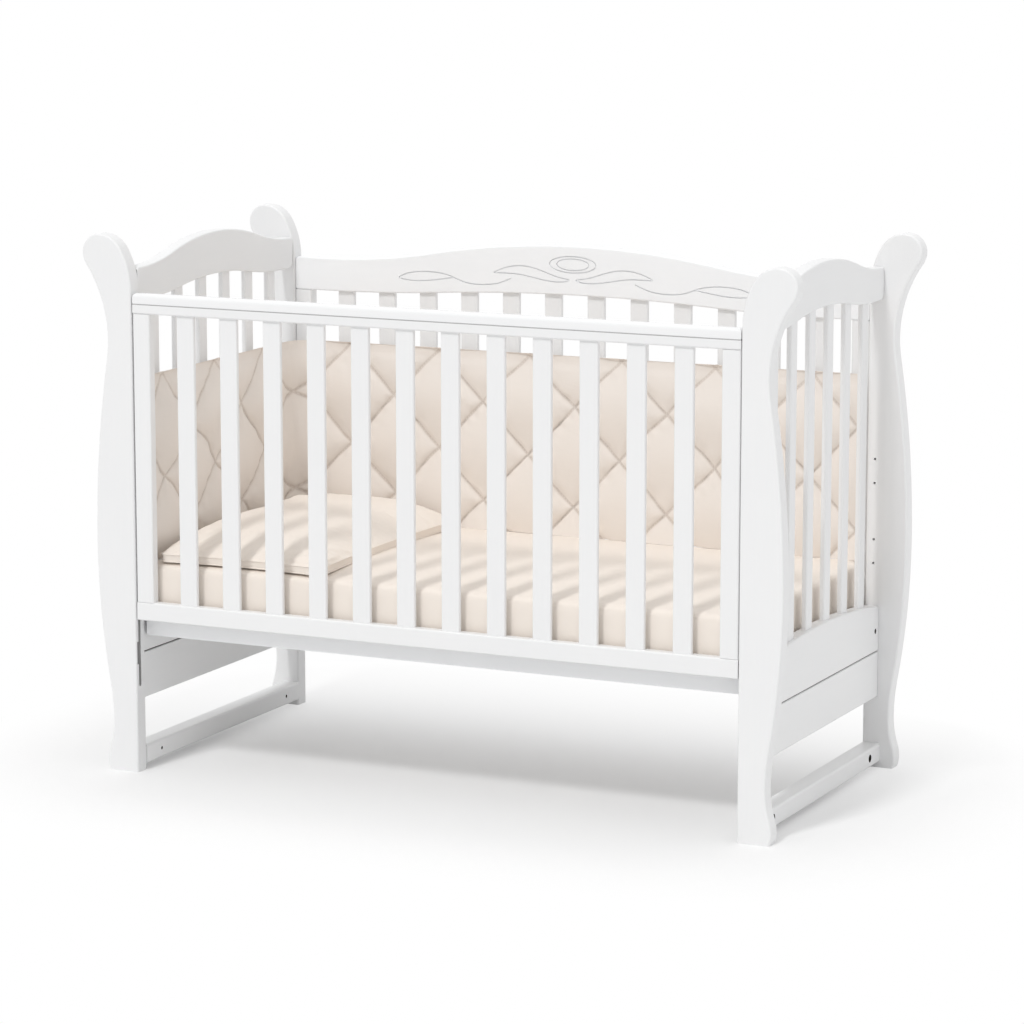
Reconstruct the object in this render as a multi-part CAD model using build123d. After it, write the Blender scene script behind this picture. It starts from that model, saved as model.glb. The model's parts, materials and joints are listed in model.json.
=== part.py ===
from build123d import *
from math import asin, cos, radians, sin, sqrt
import os

# Baby crib with a drop side. Millimetres, X along the length, -Y is the drop side,
# +Z up, and the origin is on the floor under the middle of the crib.

# Bedding
MATTRESS_LENGTH = 1200.0
MATTRESS_WIDTH = 600.0
MATTRESS_THICKNESS = 100.0
MATTRESS_CROWN = 3.0
CROWN_RUN = 160.0
MATTRESS_CORNER = 26.0
MATTRESS_ROUND = 13.0
MATTRESS_END_GAP = 2.0
MATTRESS_SIDE_GAP = 1.5
SOFT_GAP = 0.3
BUMPER_THICKNESS = 30.0
BUMPER_HEIGHT = 350.0
BUMPER_CORNER = 30.0
BUMPER_ROUND = 11.0
BUMPER_LOW_ROUND = 5.0
BUMPER_BACK_GAP = 0.5
BUMPER_END_GAP = 4.0
QUILT_PITCH = 193.0
QUILT_WIDTH = 44.0
QUILT_DEPTH = 10.0
QUILT_TOP = 5.0
QUILT_BACK_START = -87.0
QUILT_LEFT_START = -36.0
PILLOW_WIDTH = 344.0
PILLOW_FRONT_GAP = 1.0
PILLOW_HEIGHT = 58.0
PILLOW_SEAM = 15.0
PILLOW_DRAWN_IN = 13.0
PILLOW_SIDE_GAP = 4.0
PILLOW_FRONT_CORNER = 14.0
PILLOW_BACK_CORNER = 30.0
PILLOW_TUCK = 1.5
PILLOW_CROWN_LEFT = 32.0
PILLOW_CROWN_RIGHT = 210.0
PILLOW_CROWN_FRONT = 300.0
PILLOW_CROWN_BACK = 60.0
PILLOW_CROWN_TURN = 0.4
PILLOW_STEPS = 6

# Posts: the outer edge is set out from the straight inner edge
POST_THICKNESS = 32.0
POST_HEIGHT = 1007.0
POST_ROUND = 4.0
HEEL_OUT = 60.0
FOOT_OUT = 63.5
FOOT_Z = 20.0
FOOT_TURN = 0.3
ANKLE_OUT = 51.5
ANKLE_Z = 96.0
ANKLE_TURN = 0.2
BELLY_OUT = 81.0
BELLY_Z = 436.0
BELLY_TURN = 0.9
WAIST_OUT = 51.0
WAIST_BELOW_TOP = 195.0
WAIST_TURN = 0.86
SCROLL_OUT = 101.0
SCROLL_RADIUS = 35.0
CROWN_RADIUS = 52.0
SHOULDER_RADIUS = 150.0

# End panels
END_SETBACK = 3.0
END_THICKNESS = 26.0
RAIL_ROUND = 3.5
END_RAIL_BELOW_POST = 21.0
END_RAIL_DEPTH = 82.0
END_RAIL_TOP_RISE = 41.0
END_RAIL_LOW_RISE = 20.0
END_RAIL_TOP_FLAT = 8.5
END_RAIL_LOW_FLAT = 58.5
END_RAIL_TURN = 0.57
END_RAIL_LOW_CORNER = 14.0
END_RAIL_TOP_CORNER = 7.5
APRON_LOW = 136.0
APRON_TOP_END = 309.0
APRON_TOP_MID = 329.0
APRON_CORNER = 11.0
APRON_GROOVE_Z = 224.0
APRON_GROOVE_WIDTH = 4.0
APRON_GROOVE_DEPTH = 5.0
STRETCHER_LOW = 11.0
STRETCHER_HEIGHT = 36.0
STRETCHER_THICKNESS = 37.0
STRETCHER_PROUD = 1.5
STRETCHER_ROUND = 5.0
STRETCHER_HOLE_INSET = 53.5
STRETCHER_HOLE = 6.5
STRETCHER_SINK = 15.0
STRETCHER_SINK_DEPTH = 20.0
END_SLATS = 6
END_SLAT_WIDTH = 30.0
BRACKET_HOLE = 5.0
BRACKET_HOLE_DEPTH = 14.0
BRACKET_LOW_Z = 389.5
BRACKET_PAIR = 45.0
BRACKET_STEP = 151.0
BRACKET_LEVELS = 2

# Side panels: the drop side in front and the fixed panel at the back
SIDE_THICKNESS = 26.0
DROP_THICKNESS = 20.0
SIDE_END_GAP = 2.0
STILE_WIDTH = 35.0
SIDE_SLATS = 12
SIDE_SLAT_WIDTH = 36.0
SLAT_THICKNESS = 10.0
SLAT_ROUND = 3.0
TENON = 11.0
TENON_GAP = 0.15
SIDE_RAIL_LOW = 290.0
SIDE_RAIL_HEIGHT = 35.0
DROP_RAIL_BELOW_POST = 144.5
DROP_RAIL_HEIGHT = 18.0
CAP_HEIGHT = 20.0
CAP_WALL = 3.0
CAP_ROUND = 8.0
CAP_GAP = 0.2
CAP_SEAM = 1.2
CREST_BELOW_POST = 53.0
CREST_DEPTH = 95.0
CREST_TOP_RISE = 47.0
CREST_LOW_RISE = 17.0
CREST_TOP_FLAT = 76.0
CREST_LOW_FLAT = 94.0
CREST_TURN = 0.57
CREST_LOW_CORNER = 5.0
CREST_TOP_CORNER = 9.0

# Drop side guides
DROP_TRAVEL = 140.0
PIN_DIAMETER = 8.0
PIN_GAP = 0.3
PIN_IN_RAIL = 20.0
PIN_IN_POST = 7.0
PIN_END_GAP = 1.0
PIN_HIGH_BELOW_RAIL = 30.0
NOTCH_LOW = 205.0
NOTCH_HEIGHT = 43.0
NOTCH_LIP = 4.0

# Joinery
DOWEL_DIAMETER = 8.0
DOWEL_DEPTH = 14.0
DOWEL_FIT = 0.05
STILE_DOWEL_IN_RAIL = 11.0
STILE_DOWEL_IN_STILE = 20.0
STUD_DIAMETER = 6.0
STUD_IN_POST = 12.0
STUD_PAST_NUT = 4.0
NUT_DIAMETER = 10.0
NUT_LENGTH = 16.0
NUT_FROM_END = 17.5
NUT_SINK = 5.0
FIT_GAP = 0.1
END_RAIL_DOWEL_INSET = 20.0
APRON_DOWEL_INSET = 28.0
APRON_DOWEL_PITCH = 76.0
APRON_STUD_Z = 264.0
CREST_STUD_UP = 40.0
CREST_DOWEL_UP = 20.0
SIDE_STUD_UP = 13.0

# Mattress base
BASE_LOW = 256.0
BASE_RAIL_HEIGHT = 30.0
BASE_RAIL_THICKNESS = 26.0
BASE_INSET = 4.0
BASE_END_GAP = 6.0
BASE_SLATS = 12
BASE_SLAT_WIDTH = 62.0
BASE_SLAT_THICKNESS = 11.0
BASE_BOLT_PITCH = 300.0
BASE_BOLT_DIAMETER = 6.0
BASE_BOLT_IN_APRON = 15.0
BASE_BOLT_HEAD = 12.0
BASE_BOLT_HEAD_HEIGHT = 5.0

# Places that follow from the sizes above
INNER_X = MATTRESS_LENGTH / 2 + MATTRESS_END_GAP
SIDE_IN_Y = MATTRESS_WIDTH / 2 + MATTRESS_SIDE_GAP
SIDE_OUT_Y = SIDE_IN_Y + SIDE_THICKNESS
SIDE_MID_Y = SIDE_IN_Y + SIDE_THICKNESS / 2
DROP_MID_Y = SIDE_OUT_Y - DROP_THICKNESS / 2
POST_IN_Y = SIDE_MID_Y - POST_THICKNESS / 2
POST_OUT_Y = SIDE_MID_Y + POST_THICKNESS / 2
END_IN_X = INNER_X + END_SETBACK
END_OUT_X = END_IN_X + END_THICKNESS
END_MID_X = END_IN_X + END_THICKNESS / 2
END_RAIL_TOP_MID = POST_HEIGHT - END_RAIL_BELOW_POST
END_RAIL_TOP_END = END_RAIL_TOP_MID - END_RAIL_TOP_RISE
END_RAIL_LOW_MID = END_RAIL_TOP_MID - END_RAIL_DEPTH
END_RAIL_LOW_END = END_RAIL_LOW_MID - END_RAIL_LOW_RISE
CREST_TOP_MID = POST_HEIGHT - CREST_BELOW_POST
CREST_TOP_END = CREST_TOP_MID - CREST_TOP_RISE
CREST_LOW_MID = CREST_TOP_MID - CREST_DEPTH
CREST_LOW_END = CREST_LOW_MID - CREST_LOW_RISE
DROP_RAIL_LOW = POST_HEIGHT - DROP_RAIL_BELOW_POST
STRETCHER_MID_Z = STRETCHER_LOW + STRETCHER_HEIGHT / 2
SIDE_RAIL_TOP = SIDE_RAIL_LOW + SIDE_RAIL_HEIGHT
DROP_END_X = INNER_X - SIDE_END_GAP
DROP_RAIL_TOP = DROP_RAIL_LOW + DROP_RAIL_HEIGHT
STILE_OUT_X = DROP_END_X
STILE_MID_X = STILE_OUT_X - STILE_WIDTH / 2
SLAT_PITCH = 2 * STILE_MID_X / (SIDE_SLATS + 1)
END_SLAT_PITCH = (2 * POST_IN_Y + END_SLAT_WIDTH) / (END_SLATS + 1)
PIN_LOW_Z = SIDE_RAIL_LOW + SIDE_RAIL_HEIGHT / 2
PIN_HIGH_Z = DROP_RAIL_LOW - PIN_HIGH_BELOW_RAIL
BASE_TOP = BASE_LOW + BASE_RAIL_HEIGHT
DECK_TOP = BASE_TOP + BASE_SLAT_THICKNESS
MATTRESS_LOW = DECK_TOP + SOFT_GAP
MATTRESS_TOP = MATTRESS_LOW + MATTRESS_THICKNESS
BUMPER_OUT_X = END_IN_X - BUMPER_BACK_GAP
BUMPER_OUT_Y = SIDE_IN_Y - BUMPER_BACK_GAP
BUMPER_IN_X = BUMPER_OUT_X - BUMPER_THICKNESS
BUMPER_IN_Y = BUMPER_OUT_Y - BUMPER_THICKNESS
CREST_LOW = (CREST_LOW_MID, CREST_LOW_END, INNER_X - CREST_LOW_FLAT)
CREST_TOP = (CREST_TOP_MID, CREST_TOP_END, INNER_X - CREST_TOP_FLAT)
END_RAIL_LOW = (END_RAIL_LOW_MID, END_RAIL_LOW_END, POST_IN_Y - END_RAIL_LOW_FLAT)
END_RAIL_TOP = (END_RAIL_TOP_MID, END_RAIL_TOP_END, POST_IN_Y - END_RAIL_TOP_FLAT)


def block(x0, x1, y0, y1, z0, z1):
    """A box between two corners."""
    centre = Pos((x0 + x1) / 2, (y0 + y1) / 2, (z0 + z1) / 2)
    return centre * Box(abs(x1 - x0), abs(y1 - y0), abs(z1 - z0))


def rod(x, y, z, axis, length, diameter):
    """A round rod that starts at a point and runs along +X, +Y or +Z."""
    turn = {"x": Rot(0, 90, 0), "y": Rot(-90, 0, 0), "z": Rot(0, 0, 0)}[axis]
    start = (Align.CENTER, Align.CENTER, Align.MIN)
    return Pos(x, y, z) * turn * Cylinder(diameter / 2, length, align=start)


def group(solids):
    """Separate solids that share one node."""
    return Compound(children=list(solids))


def left_and_right(shape):
    """A right-hand shape and its mirror image on the left."""
    return mirror(shape, about=Plane.YZ), shape


def front_and_back(shape):
    """A back shape and its mirror image at the front."""
    return mirror(shape, about=Plane.XZ), shape


def ogee_radii(mid, end, run, turn):
    """Radii of the crest and of the hollow of an arch that ends level."""
    rise = mid - end
    whole = (run ** 2 + rise ** 2) / (2 * rise)
    return turn * whole, (1 - turn) * whole


def ogee_height(at, arch, turn):
    """Height of the arch at a distance from its middle."""
    mid, end, run = arch
    crest, hollow = ogee_radii(mid, end, run, turn)
    away = abs(at)
    if away <= turn * run:
        return mid - crest + sqrt(crest ** 2 - away ** 2)
    if away < run:
        return end + hollow - sqrt(hollow ** 2 - (run - away) ** 2)
    return end


def ogee_edges(half, arch, turn):
    """Edges of the arch from one end of a rail to the other."""
    mid, end, run = arch
    crest, hollow = ogee_radii(mid, end, run, turn)
    bend = turn * run
    bend_z = ogee_height(bend, arch, turn)
    middle = run - hollow * sin(asin((run - bend) / hollow) / 2)
    middle_z = ogee_height(middle, arch, turn)
    return [
        Line((-half, end), (-run, end)),
        ThreePointArc((-run, end), (-middle, middle_z), (-bend, bend_z)),
        ThreePointArc((-bend, bend_z), (0, mid), (bend, bend_z)),
        ThreePointArc((bend, bend_z), (middle, middle_z), (run, end)),
        Line((run, end), (half, end)),
    ]


def arched_face(half, low, top, turn, low_corner, top_corner):
    """Outline of a rail between two arches, with rounded end corners."""
    ends = [
        Line((half, low[1]), (half, top[1])),
        Line((-half, top[1]), (-half, low[1])),
    ]
    edges = ogee_edges(half, low, turn) + ogee_edges(half, top, turn) + ends
    face = make_face(edges)
    for z, corner in ((low[1], low_corner), (top[1], top_corner)):
        at_end = [v for v in face.vertices() if abs(abs(v.X) - half) + abs(v.Y - z) < 0.001]
        face = fillet(at_end, corner)
    return face


def rounded_faces(board, axis, radius):
    """Round the edges of a board's two broad faces."""
    faces = board.faces().filter_by(axis).sort_by(axis)
    return fillet(faces[0].edges() + faces[-1].edges(), radius)


def slat(z0, z1, width_axis):
    """An upright slat about the Z axis with rounded corners."""
    size = (SIDE_SLAT_WIDTH, SLAT_THICKNESS)
    if width_axis == "y":
        size = (SLAT_THICKNESS, END_SLAT_WIDTH)
    outline = RectangleRounded(*size, SLAT_ROUND)
    return Pos(0, 0, z0) * extrude(outline, z1 - z0)


def mortise(z0, z1, width_axis):
    """The pocket for a slat's end, a little larger than the slat."""
    size = (SIDE_SLAT_WIDTH + 2 * TENON_GAP, SLAT_THICKNESS + 2 * TENON_GAP)
    if width_axis == "y":
        size = (SLAT_THICKNESS + 2 * TENON_GAP, END_SLAT_WIDTH + 2 * TENON_GAP)
    outline = RectangleRounded(*size, SLAT_ROUND + TENON_GAP)
    return Pos(0, 0, z0) * extrude(outline, z1 - z0)


def centred(count, pitch):
    """Evenly spaced places about zero."""
    return [(i - (count - 1) / 2) * pitch for i in range(count)]


def dowel_hole(x, y, z, axis, length):
    return rod(x, y, z, axis, length, DOWEL_DIAMETER + 2 * DOWEL_FIT)


def stud_hole(x, y, z, axis, length):
    return rod(x, y, z, axis, length, STUD_DIAMETER + 2 * FIT_GAP)


# Places of the joints, each at the right end and at the back
def end_dowel_heights():
    """Heights of the dowels between a post and the rails of its end panel."""
    low = APRON_LOW + APRON_DOWEL_INSET
    return [
        STRETCHER_MID_Z,
        low,
        low + APRON_DOWEL_PITCH,
        END_RAIL_LOW_END + END_RAIL_DOWEL_INSET,
        END_RAIL_TOP_END - END_RAIL_DOWEL_INSET,
    ]


def back_dowel_height():
    return CREST_LOW_END + CREST_DOWEL_UP


def back_stud_heights():
    return [SIDE_RAIL_LOW + SIDE_STUD_UP, CREST_LOW_END + CREST_STUD_UP]


# End panels
def upright_bend(start, end, turn):
    """Two tangent arcs that leave one point and reach the next straight upwards."""
    bend = tuple(a + turn * (b - a) for a, b in zip(start, end))
    lower = TangentArc(start, bend, tangent=(0, 1))
    upper = TangentArc(bend, end, tangent=(0, -1), tangent_from_first=False)
    return [lower, upper]


def post_face():
    """Outline of a post in X and Z, up its outer edge and round the scroll."""
    scroll_z = POST_HEIGHT - SCROLL_RADIUS
    heel = (INNER_X + HEEL_OUT, 0)
    foot = (INNER_X + FOOT_OUT, FOOT_Z)
    ankle = (INNER_X + ANKLE_OUT, ANKLE_Z)
    belly = (INNER_X + BELLY_OUT, BELLY_Z)
    waist = (INNER_X + WAIST_OUT, POST_HEIGHT - WAIST_BELOW_TOP)
    scroll = (INNER_X + SCROLL_OUT, scroll_z)
    crown_x = INNER_X + SCROLL_OUT - SCROLL_RADIUS
    crown_z = POST_HEIGHT - CROWN_RADIUS
    across = INNER_X + SHOULDER_RADIUS - crown_x
    apart = SHOULDER_RADIUS - CROWN_RADIUS
    down = sqrt(apart ** 2 - across ** 2)
    shoulder = (crown_x - CROWN_RADIUS * across / apart, crown_z + CROWN_RADIUS * down / apart)
    chin = (INNER_X, crown_z - down)
    top = (crown_x, POST_HEIGHT)
    edges = [TangentArc(heel, foot, tangent=(0, -1), tangent_from_first=False)]
    edges += upright_bend(foot, ankle, FOOT_TURN)
    edges += upright_bend(ankle, belly, ANKLE_TURN)
    edges += upright_bend(belly, waist, BELLY_TURN)
    edges += upright_bend(waist, scroll, WAIST_TURN)
    edges.append(TangentArc(scroll, top, tangent=(0, 1)))
    edges.append(TangentArc(top, shoulder, tangent=(-1, 0)))
    edges.append(TangentArc(shoulder, chin, tangent=(0, 1), tangent_from_first=False))
    edges.append(Line(chin, (INNER_X, 0)))
    edges.append(Line((INNER_X, 0), heel))
    return make_face(edges)


def post_blank():
    """A right back post with the holes that all four posts share."""
    post = extrude(Plane.XZ.offset(-POST_OUT_Y) * post_face(), POST_THICKNESS)
    broad = post.faces().filter_by(Axis.Y).sort_by(Axis.Y)
    rims = broad[0].edges() + broad[-1].edges()
    post = fillet([e for e in rims if e.center().Z > 0.001], POST_ROUND)
    holes = [dowel_hole(END_MID_X, POST_IN_Y, z, "y", DOWEL_DEPTH) for z in end_dowel_heights()]
    holes.append(stud_hole(END_MID_X, POST_IN_Y, APRON_STUD_Z, "y", STUD_IN_POST))
    for level in range(BRACKET_LEVELS):
        for step in range(2):
            z = BRACKET_LOW_Z + level * BRACKET_STEP + step * BRACKET_PAIR
            holes.append(rod(END_MID_X, POST_IN_Y, z, "y", BRACKET_HOLE_DEPTH, BRACKET_HOLE))
    return post - holes


def back_post(blank):
    """The blank with the holes for the fixed back panel in its inner edge."""
    holes = [dowel_hole(INNER_X, SIDE_MID_Y, back_dowel_height(), "x", DOWEL_DEPTH)]
    holes += [stud_hole(INNER_X, SIDE_MID_Y, z, "x", STUD_IN_POST) for z in back_stud_heights()]
    return blank - holes


def front_post(blank):
    """The mirrored blank with the guide groove of the drop side in its inner edge."""
    width = PIN_DIAMETER + 2 * PIN_GAP
    depth = PIN_IN_POST + PIN_END_GAP
    low = PIN_LOW_Z - DROP_TRAVEL - PIN_GAP
    high = PIN_HIGH_Z + PIN_GAP
    groove = block(INNER_X, INNER_X + depth, -DROP_MID_Y - width / 2, -DROP_MID_Y + width / 2, low, high)
    ends = [rod(INNER_X, -DROP_MID_Y, z, "x", depth, width) for z in (low, high)]
    notch_y = -POST_OUT_Y + NOTCH_LIP
    notch_top = NOTCH_LOW + NOTCH_HEIGHT
    notch = block(INNER_X, INNER_X + depth, notch_y, -DROP_MID_Y, NOTCH_LOW, notch_top)
    return mirror(blank, about=Plane.XZ) - [groove, *ends, notch]


def end_slat_places():
    return centred(END_SLATS, END_SLAT_PITCH)


def slat_end_height(y, half_width, height):
    """Lowest height of a curved edge across the width of a slat."""
    return min(height(y - half_width), height(y + half_width))


def end_rail_low_height(y):
    return ogee_height(y, END_RAIL_LOW, END_RAIL_TURN)


def apron_top_height(y):
    """Height of the apron's arc of a circle."""
    rise = APRON_TOP_MID - APRON_TOP_END
    bend = 2 * rise / (POST_IN_Y ** 2 + rise ** 2)
    return APRON_TOP_MID - bend * y ** 2 / (1 + sqrt(1 - (bend * y) ** 2))


def end_slat_ends(y):
    """Lower and upper end of an end slat, both inside their mortises."""
    low = slat_end_height(y, END_SLAT_WIDTH / 2, apron_top_height) - TENON
    top = slat_end_height(y, END_SLAT_WIDTH / 2, end_rail_low_height) + TENON
    return low, top


def end_mortises():
    """Pockets for the slats of an end panel."""
    pockets = []
    for y in end_slat_places():
        low, top = end_slat_ends(y)
        pockets.append(Pos(END_MID_X, y, 0) * mortise(low, top, "y"))
    return pockets


def end_dowel_holes(heights):
    holes = []
    for z in heights:
        hole = dowel_hole(END_MID_X, POST_IN_Y - DOWEL_DEPTH, z, "y", DOWEL_DEPTH)
        holes += front_and_back(hole)
    return holes


def end_top_rail():
    corners = (END_RAIL_LOW_CORNER, END_RAIL_TOP_CORNER)
    face = arched_face(POST_IN_Y, END_RAIL_LOW, END_RAIL_TOP, END_RAIL_TURN, *corners)
    rail = Pos(END_IN_X, 0, 0) * extrude(Plane.YZ * face, END_THICKNESS)
    rail = rounded_faces(rail, Axis.X, RAIL_ROUND)
    return rail - end_mortises() - end_dowel_holes(end_dowel_heights()[3:])


def end_apron():
    half = POST_IN_Y
    top = ThreePointArc((-half, APRON_TOP_END), (0, APRON_TOP_MID), (half, APRON_TOP_END))
    sides = Polyline((half, APRON_TOP_END), (half, APRON_LOW), (-half, APRON_LOW), (-half, APRON_TOP_END))
    face = make_face([top, *sides.edges()])
    face = fillet([v for v in face.vertices() if v.Y > APRON_GROOVE_Z], APRON_CORNER)
    apron = Pos(END_IN_X, 0, 0) * extrude(Plane.YZ * face, END_THICKNESS)
    apron = rounded_faces(apron, Axis.X, RAIL_ROUND)
    cuts = end_mortises() + end_dowel_holes(end_dowel_heights()[1:3])
    for x in (END_IN_X, END_OUT_X):
        half_width = APRON_GROOVE_WIDTH / 2
        deep = APRON_GROOVE_DEPTH
        cutter = Polygon((deep, 0), (0, half_width), (-deep, 0), (0, -half_width), align=None)
        cuts.append(Pos(x, 0, APRON_GROOVE_Z) * extrude(Plane.XZ * cutter, half, both=True))
    for y in (-BASE_BOLT_PITCH / 2, BASE_BOLT_PITCH / 2):
        bolt_diameter = BASE_BOLT_DIAMETER + 2 * FIT_GAP
        cuts.append(rod(END_IN_X, y, BASE_LOW + BASE_RAIL_HEIGHT / 2, "x", BASE_BOLT_IN_APRON, bolt_diameter))
    nut_y = POST_IN_Y - NUT_FROM_END
    stud_depth = NUT_FROM_END + STUD_PAST_NUT + NUT_DIAMETER / 2
    stud = stud_hole(END_MID_X, POST_IN_Y - stud_depth, APRON_STUD_Z, "y", stud_depth)
    nut_depth = NUT_SINK + NUT_LENGTH
    nut = rod(END_OUT_X - nut_depth, nut_y, APRON_STUD_Z, "x", nut_depth, NUT_DIAMETER + 2 * FIT_GAP)
    return apron - cuts - [*front_and_back(stud), *front_and_back(nut)]


def end_stretcher():
    inner = INNER_X - STRETCHER_PROUD
    outer = inner + STRETCHER_THICKNESS
    top = STRETCHER_LOW + STRETCHER_HEIGHT
    bar = block(inner, outer, -POST_IN_Y, POST_IN_Y, STRETCHER_LOW, top)
    bar = fillet(bar.edges().filter_by(Axis.Y), STRETCHER_ROUND)
    cuts = end_dowel_holes(end_dowel_heights()[:1])
    for y in (STRETCHER_HOLE_INSET - POST_IN_Y, POST_IN_Y - STRETCHER_HOLE_INSET):
        cuts.append(rod(inner, y, STRETCHER_MID_Z, "x", STRETCHER_THICKNESS, STRETCHER_HOLE))
        sink_x = outer - STRETCHER_SINK_DEPTH
        cuts.append(rod(sink_x, y, STRETCHER_MID_Z, "x", STRETCHER_SINK_DEPTH, STRETCHER_SINK))
    return bar - cuts


def end_slats():
    slats = []
    for y in end_slat_places():
        slats.append(Pos(END_MID_X, y, 0) * slat(*end_slat_ends(y), "y"))
    return slats


# Side panels
def side_slat_places():
    return centred(SIDE_SLATS, SLAT_PITCH)


def side_slat_top_drop(x):
    return DROP_RAIL_LOW + TENON


def side_slat_top_back(x):
    """Upper end of a back slat, inside the arched crest rail."""
    height = slat_end_height(x, SIDE_SLAT_WIDTH / 2, lambda at: ogee_height(at, CREST_LOW, CREST_TURN))
    return height + TENON


def side_slats(y, top_of):
    low = SIDE_RAIL_TOP - TENON
    return [Pos(x, y, 0) * slat(low, top_of(x), "x") for x in side_slat_places()]


def side_mortises(y, top_of):
    low = SIDE_RAIL_TOP - TENON
    return [Pos(x, y, 0) * mortise(low, top_of(x), "x") for x in side_slat_places()]


def stile_dowels(x, y, top, fit):
    """The upright dowels at the lower and upper end of a stile."""
    length = STILE_DOWEL_IN_RAIL + STILE_DOWEL_IN_STILE
    diameter = DOWEL_DIAMETER + 2 * fit
    low = rod(x, y, SIDE_RAIL_TOP - STILE_DOWEL_IN_RAIL, "z", length, diameter)
    high = rod(x, y, top - STILE_DOWEL_IN_STILE, "z", length, diameter)
    return [low, high]


def side_bottom_rail(half, y, thickness):
    rail = block(-half, half, y - thickness / 2, y + thickness / 2, SIDE_RAIL_LOW, SIDE_RAIL_TOP)
    return fillet(rail.edges().filter_by(Axis.X), RAIL_ROUND)


def stile(x, y, thickness, top, cuts):
    half = STILE_WIDTH / 2
    depth = thickness / 2
    post = block(x - half, x + half, y - depth, y + depth, SIDE_RAIL_TOP, top)
    return fillet(post.edges().filter_by(Axis.Z), RAIL_ROUND) - cuts


def guide_pin(x, z):
    """A pin that starts inside the side's right end and runs into the post groove."""
    length = PIN_IN_RAIL + SIDE_END_GAP + PIN_IN_POST
    return rod(x - PIN_IN_RAIL, -DROP_MID_Y, z, "x", length, PIN_DIAMETER)


def drop_pins():
    pins = []
    for z in (PIN_LOW_Z, PIN_HIGH_Z):
        pins += left_and_right(guide_pin(DROP_END_X, z))
    return pins


def drop_side():
    """All pieces of the drop side, by name."""
    y = -DROP_MID_Y
    depth = DROP_THICKNESS / 2
    pins = drop_pins()
    pin_holes = []
    for z in (PIN_LOW_Z, PIN_HIGH_Z):
        hole = rod(DROP_END_X - PIN_IN_RAIL, y, z, "x", PIN_IN_RAIL, PIN_DIAMETER + 2 * DOWEL_FIT)
        pin_holes += left_and_right(hole)
    pockets = side_mortises(y, side_slat_top_drop)
    holes = []
    dowels = []
    for x in (-STILE_MID_X, STILE_MID_X):
        holes += stile_dowels(x, y, DROP_RAIL_LOW, DOWEL_FIT)
        dowels += stile_dowels(x, y, DROP_RAIL_LOW, 0)
    bottom = side_bottom_rail(DROP_END_X, y, DROP_THICKNESS) - pockets - holes - pin_holes
    rail = block(-DROP_END_X, DROP_END_X, y - depth, y + depth, DROP_RAIL_LOW, DROP_RAIL_TOP)
    low_edges = rail.edges().filter_by(Axis.X).sort_by(Axis.Z)[:2]
    rail = fillet(low_edges, RAIL_ROUND)
    rail = chamfer(rail.faces().sort_by(Axis.Z)[-1].edges(), CAP_SEAM)
    inset = CAP_WALL + CAP_GAP
    tongue_top = DROP_RAIL_TOP + CAP_HEIGHT - inset
    tongue_x = DROP_END_X - inset
    tongue = block(-tongue_x, tongue_x, y - depth + inset, y + depth - inset, DROP_RAIL_TOP, tongue_top)
    rail = rail + tongue - pockets - holes
    cap_top = DROP_RAIL_TOP + CAP_HEIGHT
    cap = block(-DROP_END_X, DROP_END_X, y - depth, y + depth, DROP_RAIL_TOP, cap_top)
    top_edges = cap.faces().sort_by(Axis.Z)[-1].edges()
    cap = fillet(top_edges, CAP_ROUND)
    cap = chamfer(cap.faces().sort_by(Axis.Z)[0].edges(), CAP_SEAM)
    hollow_x = DROP_END_X - CAP_WALL
    hollow_y = depth - CAP_WALL
    hollow = block(-hollow_x, hollow_x, y - hollow_y, y + hollow_y, DROP_RAIL_TOP, cap_top - CAP_WALL)
    parts = {
        "drop_top_rail": rail,
        "drop_teething_cap": cap - hollow,
        "drop_bottom_rail": bottom,
        "drop_guide_pins": group(pins),
        "drop_dowels": group(dowels),
    }
    for side, x in (("left", -STILE_MID_X), ("right", STILE_MID_X)):
        parts["drop_stile_" + side] = stile(x, y, DROP_THICKNESS, DROP_RAIL_LOW, holes + pin_holes)
    for i, piece in enumerate(side_slats(y, side_slat_top_drop)):
        parts[f"drop_slat_{i + 1:02d}"] = piece
    return parts


def back_joint_holes():
    """Holes for dowels, studs and barrel nuts in the ends of the back rails."""
    dowel = dowel_hole(INNER_X - DOWEL_DEPTH, SIDE_MID_Y, back_dowel_height(), "x", DOWEL_DEPTH)
    holes = [*left_and_right(dowel)]
    stud_depth = NUT_FROM_END + NUT_DIAMETER / 2 + STUD_PAST_NUT
    nut_depth = NUT_SINK + NUT_LENGTH
    nut_diameter = NUT_DIAMETER + 2 * FIT_GAP
    for z in back_stud_heights():
        holes += left_and_right(stud_hole(INNER_X - stud_depth, SIDE_MID_Y, z, "x", stud_depth))
        nut = rod(INNER_X - NUT_FROM_END, SIDE_OUT_Y - nut_depth, z, "y", nut_depth, nut_diameter)
        holes += left_and_right(nut)
    return holes


def back_stile_x():
    return INNER_X - STILE_WIDTH / 2


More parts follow.
